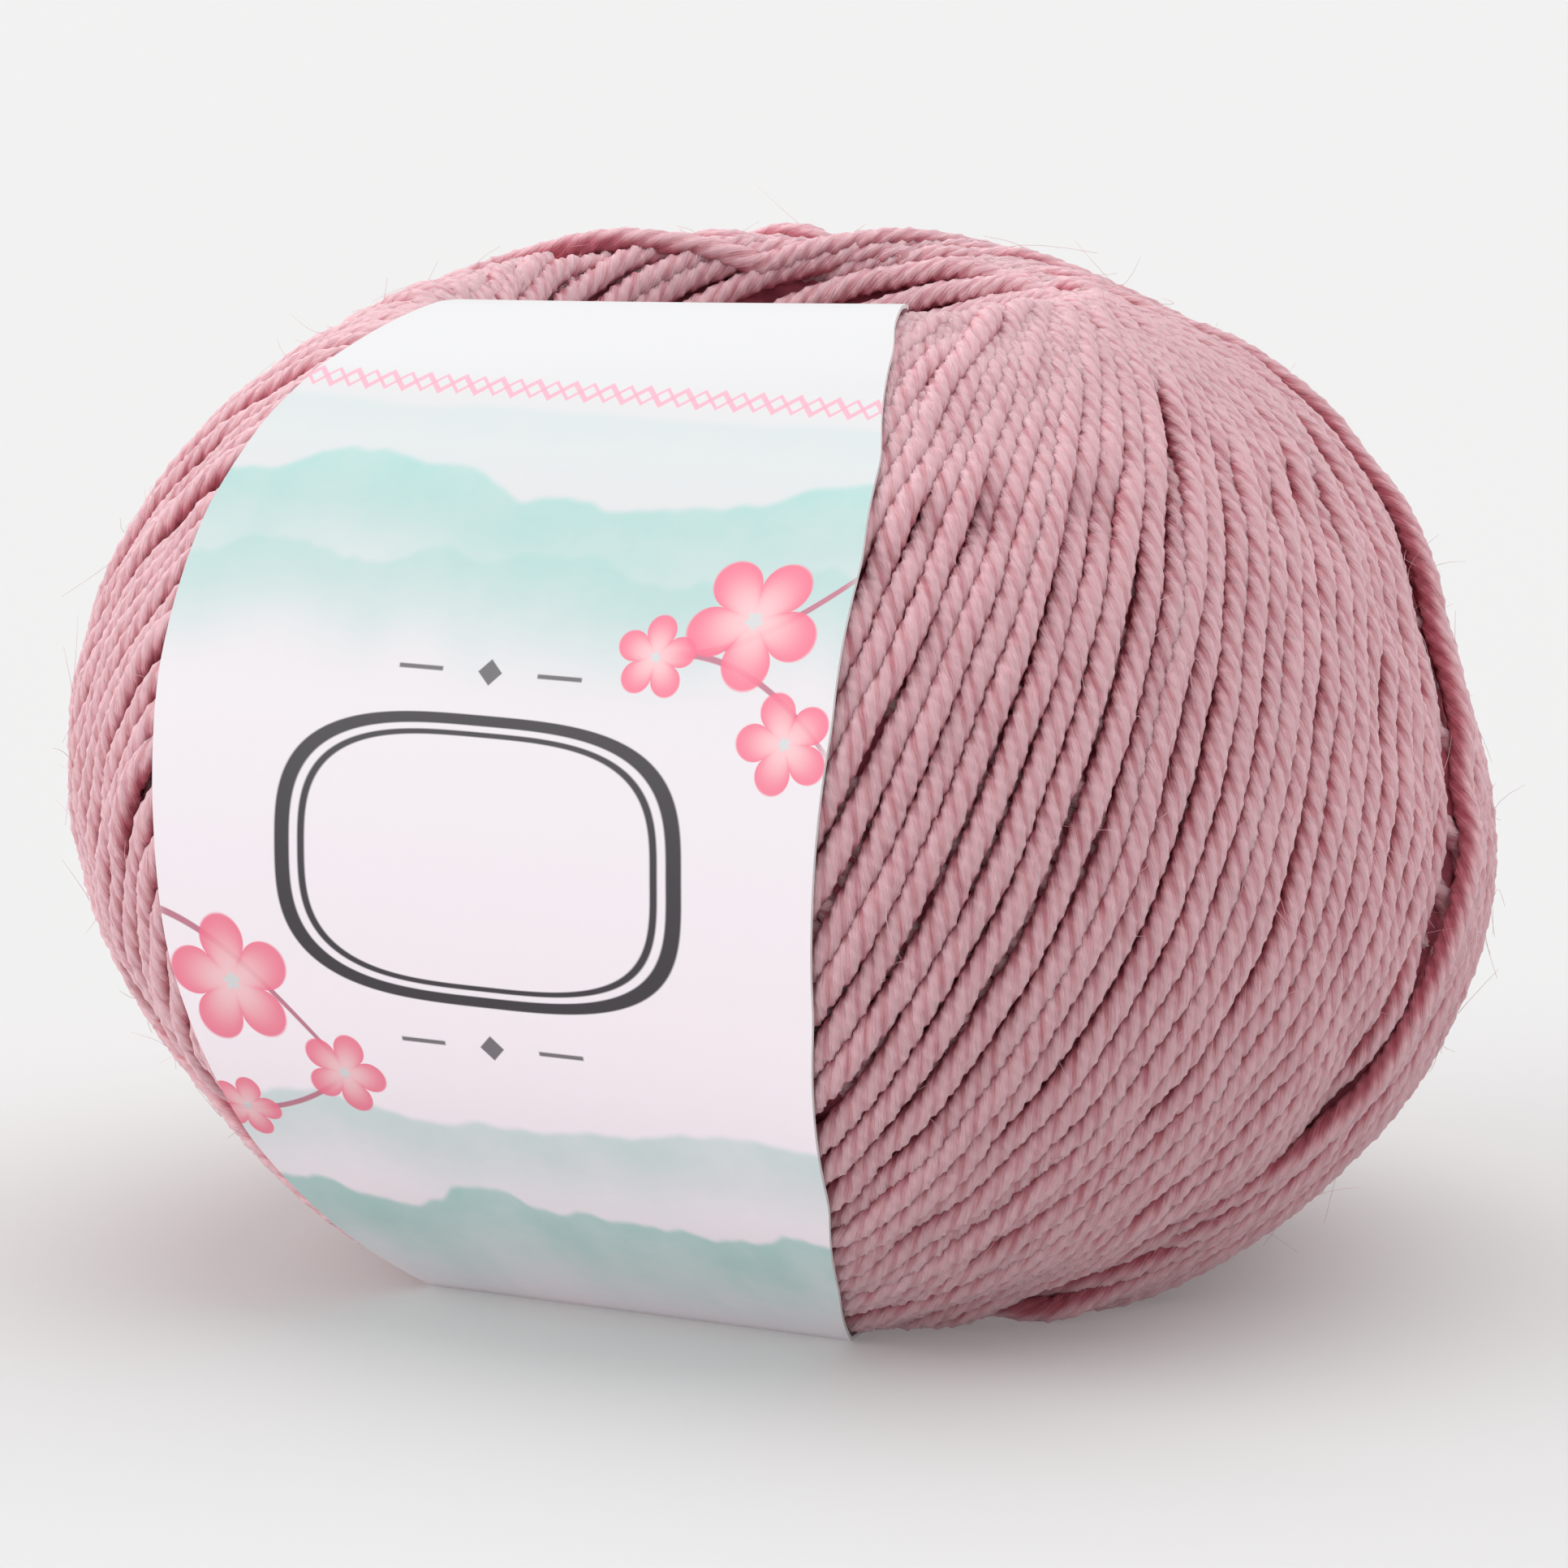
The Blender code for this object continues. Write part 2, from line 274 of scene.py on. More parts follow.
# The print, in millimetres across the band from its middle and along it from the bottom of its front.
HILLS = (
    # height, rise, reach, fade, seed, strength
    (69.0, 2.0, 0.050, 12.0, 41.0, 0.22),
    (63.0, 7.0, 0.075, 15.0, 3.0, 0.95),
    (57.5, 5.0, 0.110, 9.0, 11.0, 0.60),
    (21.5, 4.5, 0.080, 9.0, 27.0, 0.60),
    (13.5, 4.5, 0.120, 16.0, 57.0, 0.95),
)
STEMS = (
    # from across, along, to across, along, bow, width
    (24.0, 58.5, 10.8, 51.5, -1.8, 0.36),
    (24.0, 45.5, 10.8, 51.5, 2.2, 0.30),
    (-24.0, 33.5, -10.8, 23.5, 2.0, 0.36),
    (-23.0, 20.0, -10.8, 23.5, -1.6, 0.28),
)
BLOSSOMS = (
    # across, along, size, turn
    (17.0, 54.2, 4.6, 0.3),
    (11.0, 51.4, 2.8, 1.0),
    (20.4, 46.8, 3.3, 0.6),
    (-18.0, 29.0, 4.5, 0.8),
    (-11.2, 23.4, 3.0, 0.1),
    (-19.4, 19.8, 2.5, 1.3),
)
BORDER_PLACE = 69.6
BORDER_PITCH = 2.6
BORDER_HEIGHT = 1.5
BORDER_LINES = (0.42, 0.22)
FRAME_PLACE = 38.0
FRAME_HALF_WIDTH = 13.6
FRAME_HALF_HEIGHT = 8.6
FRAME_SQUARENESS = 3.2
FRAME_LINES = (
    # place, width
    (1.00, 0.55),
    (0.90, 0.20),
)
RULES = (49.6, 26.4)
RULE_WIDTH = 0.16
RULE_REACH = (3.2, 6.4)
DIAMOND_EDGE = (0.75, 0.9)
LINE_EDGE = 0.12
END_EDGE = 0.15
INK = 0.85
PETAL_INK = 0.92
PETALS = 5
PETAL_ROUNDNESS = 0.6
# Where the lavender print gives way to the white, which is dimmed with painted shade.
LAVENDER_TO_SHADE_FADE = (20.0, 74.0)

# Inputs of the nodes that take several.
RANGE_SOCKETS = ("Value", "From Min", "From Max", "To Min", "To Max")
MIX_PLACES = (0, 6, 7)
BLOSSOM_SOCKETS = ("Across", "Along", "Middle Across", "Middle Along", "Size", "Turn")

# The photograph's view and light.
CAMERA_AZIMUTH = math.radians(28)
CAMERA_ELEVATION = math.radians(10)
CAMERA_DISTANCE = 10.0
CAMERA_LENS = 162.6
CAMERA_CLIPS = (0.01, 50.0)
AIM_HEIGHT = 0.6590
AIM_LEFT = 0.0048
FLOOR_RADIUS = 6.0
FLOOR_CORNERS = 96
FLOOR_GLOW_STRENGTH = 0.145
ROOM_LIGHT = 0.50
ROOM_BRIGHT_SIDE = (-0.28, 0.53, 0.80)
ROOM_CONTRAST = 0.35
LIGHTS = (
    # name, direction towards the light, strength, width
    ("left_window", (-0.81, -0.60, 0.35), 1.95, math.radians(50)),
    ("top_light", (0.24, 0.36, 1.0), 1.9, math.radians(80)),
    ("back_light", (-0.81, 0.25, 0.6), 0.5, math.radians(40)),
)


def linked(name, data):
    """A new object in the scene."""
    made = bpy.data.objects.new(name, data)
    bpy.context.scene.collection.objects.link(made)
    return made


# ---- The form of the ball and of its band ----
def belly_radius_at(height):
    """Radius of the outer form at a height, in belly radii."""
    above = height > BELLY_HEIGHT
    share = np.abs(height - BELLY_HEIGHT) / np.where(above, UPPER_HEIGHT, LOWER_HEIGHT)
    power = np.where(above, UPPER_ROUNDNESS, LOWER_ROUNDNESS)
    return np.clip(1.0 - share**power, 0.0, 1.0) ** (1.0 / power)


def distances(points):
    """How far along a line each of its points is."""
    steps = np.linalg.norm(np.diff(points, axis=0), axis=1)
    return np.concatenate([[0.0], np.cumsum(steps)])


def rows_at(wanted, along, rows):
    """Rows of values at wanted distances along a line."""
    return np.column_stack([np.interp(wanted, along, column) for column in rows.T])


def unit(vectors):
    """Vectors made one long."""
    return vectors / np.linalg.norm(vectors, axis=1, keepdims=True)


def resample(points, steps):
    """Even steps along an open line."""
    along = distances(points[:, :2])
    return rows_at(np.linspace(0.0, along[-1], steps), along, points)


def smoothed(values, reach):
    """A running mean along an open line, whose ends stay."""
    count = len(values)
    steps = np.arange(count)
    near = np.minimum(np.minimum(steps, count - 1 - steps), reach)
    total = np.vstack([np.zeros(values.shape[1]), np.cumsum(values, axis=0)])
    return (total[steps + near + 1] - total[steps - near]) / (2 * near + 1)[:, None]


def smoothed_loop(values, reach):
    """A running mean round a closed line."""
    return np.mean([np.roll(values, shift, axis=0) for shift in range(-reach, reach + 1)], axis=0)


def lean_shift(heights):
    """Sideways shift of each level, for heights in belly radii."""
    amount = LEAN * (heights - BELLY_HEIGHT)
    return np.column_stack([amount * math.cos(LEAN_HEADING), amount * math.sin(LEAN_HEADING), 0.0 * amount])


def turn_from_foot(radius, height):
    """The angle between a loop's leg and the middle of the loop, where the leg passes a height."""
    side = plane_side(height)
    return np.arctan2(np.sqrt(np.maximum(radius**2 - side**2, 0.0)), side)


def creased(radius, height, heading):
    """How deep, in metres, the creases between bundles of strands are at a place of the outside."""
    depth = np.zeros_like(radius)
    belly_turn = turn_from_foot(1.0, BELLY_HEIGHT)
    for middle, most, spread in CREASES:
        away = heading - (middle + belly_turn - turn_from_foot(belly_radius_at(height), height))
        away = ((away + math.pi) % math.tau - math.pi) * radius * BELLY
        depth = depth + most * np.exp(-((away / spread) ** 2))
    return depth * np.clip((radius - CREASE_RADII[0]) / (CREASE_RADII[1] - CREASE_RADII[0]), 0.0, 1.0)


def placed(radius, height, heading):
    """World places of points given in belly radii round the axis, with the wool's unevenness."""
    swelling = -creased(radius, height, heading)
    for amount, middle, spread, facing in SWELLINGS:
        share = np.exp(-(((height - middle) / spread) ** 2)) * np.maximum(np.cos(heading - facing), 0.0)
        swelling = swelling + amount * share
    rise = np.clip((height - LIFT_START) / (RIM_HEIGHT - LIFT_START), 0.0, 1.0)
    lift = np.zeros_like(radius)
    for amount, middle, reach in RIM_LIFTS:
        turned = np.abs((heading - middle + math.pi) % math.tau - math.pi) / reach
        lift = lift + amount * rise**2 * (3 - 2 * rise) * np.cos(np.minimum(turned, 1.0) * math.pi / 2) ** 1.5
    radius = radius + swelling / BELLY
    points = np.column_stack([radius * np.cos(heading), radius * np.sin(heading), height + lift / BELLY])
    return (points + lean_shift(height)) * BELLY + np.array(AXIS)


def band_half_width(heights):
    """Half the width of the band's front at heights, all in belly radii."""
    return np.interp(heights, *zip(*BAND_WIDTHS))


def band_line():
    """The band's outer face along its middle: distance in front, height, half width and curl."""
    heights = np.linspace(0.0, BAND_WIDTHS[-1][0], FORM_STEPS)
    half_widths = band_half_width(heights)
    in_front = np.sqrt(belly_radius_at(heights) ** 2 - half_widths**2)
    face = np.column_stack([in_front, heights, half_widths, np.zeros_like(heights)])
    loop = np.vstack([face, np.array(BAND_THROUGH_CORE), face[:1]])
    line = smoothed_loop(resample(loop, LINE_STEPS + 1)[:-1], BAND_SMOOTHING)
    line[line[:, 1] < FLOOR_ROUNDING, 1] = 0.0
    return line


def band_point(line, along, across, margin):
    """A point of the band's outer face, along and across it from the bottom of its front."""
    place = (along % 1.0) * LINE_STEPS
    first = int(place)
    share = place - first
    front, height, half_width, curl = (
        line[first % LINE_STEPS] * (1 - share) + line[(first + 1) % LINE_STEPS] * share
    )
    side = across * (half_width + margin)
    angle = side * curl
    flat = abs(angle) < LEAST_ANGLE
    x = side if flat else math.sin(angle) / curl
    y = -front if flat else -front + (1.0 - math.cos(angle)) / curl
    height += FOLD_TILT * side * max(0.0, height - FOLD_START_HEIGHT) / (RIM_HEIGHT - FOLD_START_HEIGHT)
    shift = LEAN * (height - BELLY_HEIGHT)
    x += shift * math.cos(LEAN_HEADING)
    y += shift * math.sin(LEAN_HEADING)
    return Vector((x, y, height)) * BELLY + AXIS


def roll_band(name, stations, strips, margin=0.0, sink=0.0):
    """A flat strip rolled into the band's loop and sunk towards the yarn."""
    bpy.ops.object.select_all(action="DESELECT")
    bpy.ops.mesh.primitive_grid_add(x_subdivisions=strips, y_subdivisions=stations, size=1.0)
    strip = bpy.context.active_object
    strip.name = name
    line = band_line()
    for vertex in strip.data.vertices:
        vertex.co = band_point(line, vertex.co.y + 0.5, 2.0 * vertex.co.x, margin)
    shape = bmesh.new()
    shape.from_mesh(strip.data)
    bmesh.ops.remove_doubles(shape, verts=shape.verts, dist=PAPER_THICKNESS / 10)
    for vertex in shape.verts:
        vertex.normal_update()
    for vertex in shape.verts:
        vertex.co -= vertex.normal * sink
    shape.to_mesh(strip.data)
    shape.free()
    return strip


def seat_of_band(sink):
    """The search tree of the surface that yarn under the band stays behind."""
    seat = roll_band("band_seat", PAPER_STATIONS // 2, PAPER_STRIPS // 2, PRESS_MARGIN, sink)
    points = [vertex.co.copy() for vertex in seat.data.vertices]
    tree = BVHTree.FromPolygons(points, [tuple(face.vertices) for face in seat.data.polygons])
    bpy.data.objects.remove(seat, do_unlink=True)
    return tree


def seen_from_axis(points):
    """Points seen from the winding axis, and their heights, both in belly radii."""
    levels = points[:, 2] / BELLY
    return (points - np.array(AXIS)) / BELLY - lean_shift(levels), levels


def from_band_middle(points):
    """Points seen from the axis, and the half width of the band's front at their height."""
    from_axis, levels = seen_from_axis(points)
    return from_axis, band_half_width(levels)


def pressed(points, seat):
    """Points, with those outside the band's seat moved in to it, towards the middle of the wall."""
    from_axis, _ = seen_from_axis(points)
    headings = np.arctan2(from_axis[:, 1], from_axis[:, 0])
    radii, heights = (np.full(len(points), middle) for middle in WALL_MIDDLE)
    middles = placed(radii, heights, headings)
    result = points.copy()
    for index in np.nonzero(from_axis[:, 1] < 0)[0]:
        start = Vector(points[index])
        inward = Vector(middles[index]) - start
        hit, _, _, _ = seat.ray_cast(start, inward.normalized(), inward.length)
        if hit is not None:
            result[index] = hit
    return result


# ---- Winding ----
class Profile:
    """Radius, height and outward normal along a cut of the form, by metres along it."""

    def __init__(self, points):
        even = resample(np.array(points, float), LINE_STEPS)
        even = smoothed(even, TOUCHING)
        self.along = distances(even) * BELLY
        self.radius, self.height = even.T
        tangent = unit(np.gradient(even, axis=0))
        self.out_radius, self.out_height = -tangent[:, 1], tangent[:, 0]
        self.length = self.along[-1]

    def at(self, along):
        """Radius, height and the normal's two parts."""
        columns = (self.radius, self.height, self.out_radius, self.out_height)
        return [np.interp(along, self.along, column) for column in columns]

    def place(self, along, heading, offset):
        """World places, and normals, at an offset in metres from the form."""
        radius, height, out_radius, out_height = self.at(along)
        radius = radius + out_radius * offset / BELLY
        height = height + out_height * offset / BELLY
        normals = np.column_stack([out_radius * np.cos(heading), out_radius * np.sin(heading), out_height])
        return placed(radius, height, heading), normals


def outer_profile():
    """From the turning circle inside the mouth, over the rim and down to the foot's turning circle."""
    lip = [(MOUTH_TURN_RADIUS, MOUTH_TURN_HEIGHT), MOUTH_LIP, *CORE_CUT[3:0:-1]]
    heights = np.linspace(SHOULDER_HEIGHT, 0.0, FORM_STEPS)
    side = list(zip(belly_radius_at(heights), heights))
    return Profile(lip + side + [(-plane_side(0.0), 0.0)])


def plane_side(height):
    """How far to the side of the axis a loop's plane, bent a little towards the foot, lies at a height."""
    change = MOUTH_SLOPE - FOOT_SLOPE
    mean_slope = FOOT_SLOPE + change * (height + MOUTH_TURN_HEIGHT) / 2 / MOUTH_TURN_HEIGHT
    return MOUTH_TURN_RADIUS - mean_slope * (MOUTH_TURN_HEIGHT - height)


def one_loop(profile):
    """A loop from the foot up to the mouth and down again: distance along the profile and heading."""
    swing = np.linspace(0.0, math.pi, 4 * LINE_STEPS)
    along = profile.length * (1 - np.cos(swing)) / 2
    radius, height, _, _ = profile.at(along)
    heading = turn_from_foot(radius, height)
    along = np.concatenate([along[::-1], along[1:]])
    heading = np.concatenate([-heading[::-1], heading[1:]])
    places, _ = profile.place(along, heading, np.zeros_like(along))
    walked = distances(places)
    wanted = np.arange(0.0, walked[-1], PATH_STEP)
    return np.interp(wanted, walked, along), np.interp(wanted, walked, heading)


def loop_headings():
    """The turn of each loop. Pitches are uneven, with a groove between two of the last strands."""
    rng = np.random.default_rng(WINDING_SEED)
    pitch = math.tau / LOOPS
    drift = smoothed(rng.normal(0.0, 1.0, (LOOPS, 1)), DRIFT_REACH)[:, 0]
    uneven = PITCH_JITTER * rng.normal(0.0, 1.0, LOOPS) + PITCH_DRIFT * drift
    turns = LAST_HEADING - pitch * (LOOPS - 1 - np.arange(LOOPS)) + pitch * uneven
    turns[turns < GROOVE_HEADING] -= GROOVE_PITCHES * pitch
    return turns + turn_from_foot(1.0, BELLY_HEIGHT)


def softened(heights):
    """A taut strand bridges hollows and bends gently over what it lies on."""
    shifts = [np.roll(heights, shift) for shift in range(-TOUCHING, TOUCHING + 1)]
    carried = np.max(shifts, axis=0)
    weights = np.hanning(2 * TAUTNESS + 3)
    padded = np.pad(carried, TAUTNESS + 1, mode="edge")
    return np.convolve(padded, weights / weights.sum(), mode="valid")


def count_rows(profile):
    """Rows of the height map, with a margin at both ends."""
    return int(profile.length / CELL) + 2 * CELL_MARGIN + 2


def wind(profile, spread):
    """Lays the loops one on another. Returns each loop's samples and the ground that they make."""
    along, turn = one_loop(profile)
    count = len(along)
    radius = profile.at(along)[0] * BELLY
    step_along = np.gradient(along)
    step_round = np.gradient(turn) * radius
    stride = np.hypot(step_along, step_round)
    lean_along, lean_round = step_along / stride, step_round / stride
    across = np.linspace(-1.0, 1.0, 2 * TOUCHING + 1) * CONTACT_RADIUS * CONTACT_SHARE
    rise = np.sqrt(CONTACT_RADIUS**2 - across**2)
    row_count = count_rows(profile)
    rows = (along[:, None] - lean_round[:, None] * across) / CELL + CELL_MARGIN
    rows = np.clip(np.rint(rows).astype(int), 0, row_count - 1)
    row = rows[:, TOUCHING]
    sideways = (lean_along / radius)[:, None] * across
    ground = np.zeros((row_count, TURN_CELLS))
    advance = np.linspace(-0.5, 0.5, count) * math.tau / LOOPS
    rng = np.random.default_rng(WINDING_SEED + 2)
    loops = []
    for index, heading in enumerate(loop_headings()):
        wobble = smoothed(rng.normal(0.0, WOBBLE, (count, 1)), WOBBLE_REACH)[:, 0]
        headings = heading + turn + advance + wobble / radius
        columns = np.rint((headings[:, None] + sideways) / math.tau * TURN_CELLS).astype(int) % TURN_CELLS
        heights = softened((ground[rows, columns] + rise).max(axis=1))
        tops = heights[:, None] + rise
        np.maximum.at(ground, (rows, columns), tops)
        walked = (index * count + np.arange(count)) * PATH_STEP
        loops.append((headings, heights, walked, row, columns[:, TOUCHING]))
        settled = ground - spread(ground)
        settled = np.minimum(settled, MOST_RELIEF + (settled - MOST_RELIEF) / 2)
        sinking = ground - settled
        for _, laid_heights, _, laid_row, laid_column in loops:
            laid_heights -= sinking[laid_row, laid_column]
        ground = settled
    return along, loops, ground


def spreader(profile):
    """A function that spreads heights evenly over a few millimetres each way on the form."""
    row_count = count_rows(profile)
    rows = np.arange(row_count)
    radius = profile.at((rows - CELL_MARGIN) * CELL)[0] * BELLY
    waves = np.fft.rfftfreq(TURN_CELLS, 1 / TURN_CELLS)
    damping = np.exp(-((waves * LEVEL_REACH / radius[:, None]) ** 2) / 2)
    distance = (rows[:, None] - rows) * CELL / LEVEL_REACH
    weights = np.exp(-(distance**2) / 2)
    weights[:, rows < CELL_MARGIN] = 0.0
    weights[:, rows >= row_count - CELL_MARGIN] = 0.0
    weights /= weights.sum(axis=1, keepdims=True)

    def spread(heights):
        return weights @ np.fft.irfft(np.fft.rfft(heights, axis=1) * damping, TURN_CELLS, axis=1)

    return spread


def covered_by_band(points):
    """Whether points lie so far in under the front of the band that nothing shows them."""
    from_axis, half_widths = from_band_middle(points)
    beyond_mouth = np.hypot(from_axis[:, 0], from_axis[:, 1]) > RIM_RADIUS
    inside = np.abs(from_axis[:, 0]) < half_widths - HIDDEN_UNDER_BAND
    return inside & beyond_mouth & (from_axis[:, 1] < 0)


def stretches(shown, least, overlap):
    """Start and end of each run of samples that show, made longer by an overlap at both ends."""
    reach = np.convolve(shown, np.ones(2 * overlap + 1), mode="same") > 0
    edges = np.flatnonzero(np.diff(np.concatenate([[0], reach.astype(int), [0]])))
    return [(start, end) for start, end in zip(edges[::2], edges[1::2]) if end - start > least + 2 * overlap]


def showing_strands(profile, seat):
    """The stretches of strand that show: places, normals and distance along the yarn."""
    spread = spreader(profile)
    along, loops, ground = wind(profile, spread)
    near = (0, -2, -1, 1, 2)
    crests = np.max([np.roll(ground, shift, axis) for shift in near for axis in (0, 1)], axis=0)
    cover = sum(np.roll(ground, shift, axis=1) / len(near) for shift in near)
    cover = sum(np.roll(cover, shift, axis=0) for shift in sorted(near)) / len(near)
    level = spread(crests)
    runs = []
    for headings, heights, walked, row, column in loops:
        tops = heights + CONTACT_RADIUS
        near_turn = np.clip((TURN_REACH - np.minimum(along, profile.length - along)) / TURN_BLEND, 0.0, 1.0)
        relief = tops - level[row, column] * (1 - near_turn) - ground[row, column] * near_turn
        relief = np.minimum(relief, PROUD_SHARE * relief)
        relief = smoothed(relief[:, None], TOUCHING)[:, 0]
        points, normals = profile.place(along, headings, relief + LIFT - STRAND_RADIUS)
        points[:, 2] = np.maximum(points[:, 2], STRAND_RADIUS * STRAND_FLATNESS)
        shown = (cover[row, column] - tops < SHOWING_DEPTH) & ~covered_by_band(points)
        for start, end in stretches(shown, int(LEAST_RUN / PATH_STEP), int(RUN_OVERLAP / PATH_STEP)):
            run = smoothed(pressed(points[start:end], seat), TOUCHING)
            runs.append((run, normals[start:end], walked[start:end]))
    return runs


def lining_strands(seat):
    """Strands that wind down the wall of the core in a steep screw."""
    profile = Profile(CORE_CUT[-3:0:-1])
    rng = np.random.default_rng(WINDING_SEED + 1)
    along = np.linspace(0.0, profile.length, LINING_SAMPLES)
    radius = profile.at(along)[0] * BELLY
    cosine = np.clip(LINING_STRANDS * 2 * STRAND_RADIUS / (math.tau * radius), *LINING_SLANTS)
    turning = np.sqrt(1 - cosine**2) / cosine / radius
    heading = -np.concatenate([[0.0], np.cumsum((turning[1:] + turning[:-1]) / 2 * np.diff(along))])
    tuck = LINING_TUCK_DEPTH * np.clip(1 - (profile.length - along) / LINING_TUCK, 0.0, 1.0)
    runs = []
    for index in range(LINING_STRANDS):
        turn = math.tau * (index + LINING_JITTER * rng.normal()) / LINING_STRANDS
        depth = STRAND_RADIUS + LINING_UNEVENNESS * rng.random()
        points, normals = profile.place(along, heading + turn, -depth - tuck)
        points[:, 2] = np.maximum(points[:, 2], STRAND_RADIUS)
        points = smoothed(pressed(points, seat), LINING_SMOOTHING)
        runs.append((points, normals, distances(points)))
    return runs


def spun(runs, step):
    """Twisted four-ply tubes, closed at their ends, along strands.

    Returns points, faces, turns round and metres along at each corner, and how far outwards each point faces.
    """
    lobes = np.array(PLY_SHAPE * PLIES)
    columns = len(lobes)
    rng = np.random.default_rng(WINDING_SEED + 3)
    all_points, all_faces, around, lengths, crowns = [], [], [], [], []
    first = 0
    for points, normals, walked in runs:
        count = max(3, int((walked[-1] - walked[0]) / step))
        wanted = np.linspace(walked[0], walked[-1], count)
        points = rows_at(wanted, walked, points)
        tangents = unit(np.gradient(points, axis=0))
        sides = unit(np.cross(tangents, rows_at(wanted, walked, normals)))
        outs = np.cross(sides, tangents)
        angles = math.tau * (np.arange(columns) / columns + wanted[:, None] / PLY_LEAD)
        change = smoothed(rng.normal(0.0, THICKNESS_SPREAD, (count, 1)), THICKNESS_REACH)
        swelling = 1 + THICKNESS_CHANGE * change
        across = STRAND_RADIUS * swelling * lobes * np.cos(angles)
        out = STRAND_RADIUS * STRAND_FLATNESS * swelling * lobes * np.sin(angles)
        rings = points[:, None] + sides[:, None] * across[..., None] + outs[:, None] * out[..., None]
        all_points.append(rings.reshape(-1, 3))
        crowns.append(np.sin(angles).reshape(-1))
        ring = first + np.arange(count - 1)[:, None] * columns
        column = np.arange(columns)
        after = (column + 1) % columns
        upper = ring + columns
        quads = np.stack([ring + column, ring + after, upper + after, upper + column], axis=-1)
        all_faces += quads.reshape(-1, 4).tolist()
        turns = np.stack([column, column + 1, column + 1, column], axis=-1) / columns
        around.append(np.tile(turns.reshape(-1), count - 1))
        ends = np.stack([wanted[:-1], wanted[:-1], wanted[1:], wanted[1:]], axis=-1)
        lengths.append(np.repeat(ends, columns, axis=0).reshape(-1))
        last = first + (count - 1) * columns
        all_faces.append(list(range(first + columns - 1, first - 1, -1)))
        all_faces.append(list(range(last, last + columns)))
        around.append(np.zeros(2 * columns))
        lengths.append(np.repeat([wanted[0], wanted[-1]], columns))
        first += count * columns
    return np.vstack(all_points), all_faces, *map(np.concatenate, (around, lengths, crowns))


def strand_mesh(name, runs, step=RING_STEP):
    """A piece of strands, mapped by turns round and metres along, that keeps which way each point faces."""
    points, faces, around, lengths, crowns = spun(runs, step)
    mesh = bpy.data.meshes.new(name)
    mesh.from_pydata(points.tolist(), [], faces)
    lay = mesh.uv_layers.new(name="strand")
    lay.uv.foreach_set("vector", np.column_stack([around, lengths]).ravel().astype(np.float32))
    crown = mesh.attributes.new("crown", "FLOAT", "POINT")
    crown.data.foreach_set("value", crowns.astype(np.float32))
    mesh.shade_smooth()
    return linked(name, mesh)


def wound_strands(seat):
    """The strands that show, as a few pieces of even size."""
    runs = showing_strands(outer_profile(), seat)
    lengths = [walked[-1] - walked[0] for _, _, walked in runs]
    share = sum(lengths) / STRAND_PIECES
    pieces, batch, laid = [], [], 0.0
    for run, length in zip(runs, lengths):
        batch.append(run)
        laid += length
        if laid > share or run is runs[-1]:
            pieces.append(strand_mesh(f"yarn_strands_{len(pieces) + 1}", batch))
            batch, laid = [], 0.0
    return pieces, runs


def make_underlayer(seat):
    """The wool beneath the strands: a ring whose rows follow the wall of the ball."""
    bpy.ops.object.select_all(action="DESELECT")
    bpy.ops.mesh.primitive_torus_add(
        major_segments=UNDERLAYER_SEGMENTS, minor_segments=UNDERLAYER_ROWS, major_radius=1.0, minor_radius=0.5
    )
    ball = bpy.context.active_object
    ball.name = "wool_underlayer"
    upper = np.linspace(BELLY_HEIGHT, SHOULDER_HEIGHT, FORM_STEPS)[:-1]
    lower = np.linspace(0.0, BELLY_HEIGHT, FORM_STEPS)[1:]
    above, below = (np.column_stack([belly_radius_at(heights), heights]) for heights in (upper, lower))
    outline = resample(np.vstack([above, CORE_CUT, below]), LINE_STEPS + 1)[:-1]
    outline = smoothed_loop(outline, TAUTNESS)
    section = outline[:: LINE_STEPS // UNDERLAYER_ROWS][:UNDERLAYER_ROWS]
    tangent = unit(np.roll(section, -1, axis=0) - np.roll(section, 1, axis=0))
    section = section + tangent[:, ::-1] * np.array([-1.0, 1.0]) * UNDERLAYER_DEPTH / BELLY
    for vertex in ball.data.vertices:
        turn = math.atan2(vertex.co.y, vertex.co.x)
        round_wall = math.atan2(vertex.co.z, math.hypot(vertex.co.x, vertex.co.y) - 1.0) % math.tau
        radius, height = section[int(round(round_wall / math.tau * UNDERLAYER_ROWS)) % UNDERLAYER_ROWS]
        vertex.co = placed(np.array([radius]), np.array([max(height, 0.0)]), np.array([turn]))[0]
    places = pressed(np.array([vertex.co for vertex in ball.data.vertices]), seat)
    ball.data.vertices.foreach_set("co", places.ravel())
    ball.data.shade_smooth()
    return ball


# ---- Loose fibres ----
def beside_band(points):
    """Whether points are clear of the paper."""
    from_axis, half_widths = from_band_middle(points)
    return (from_axis[:, 1] > 0) | (np.abs(from_axis[:, 0]) > half_widths + FIBRE_CLEARANCE)


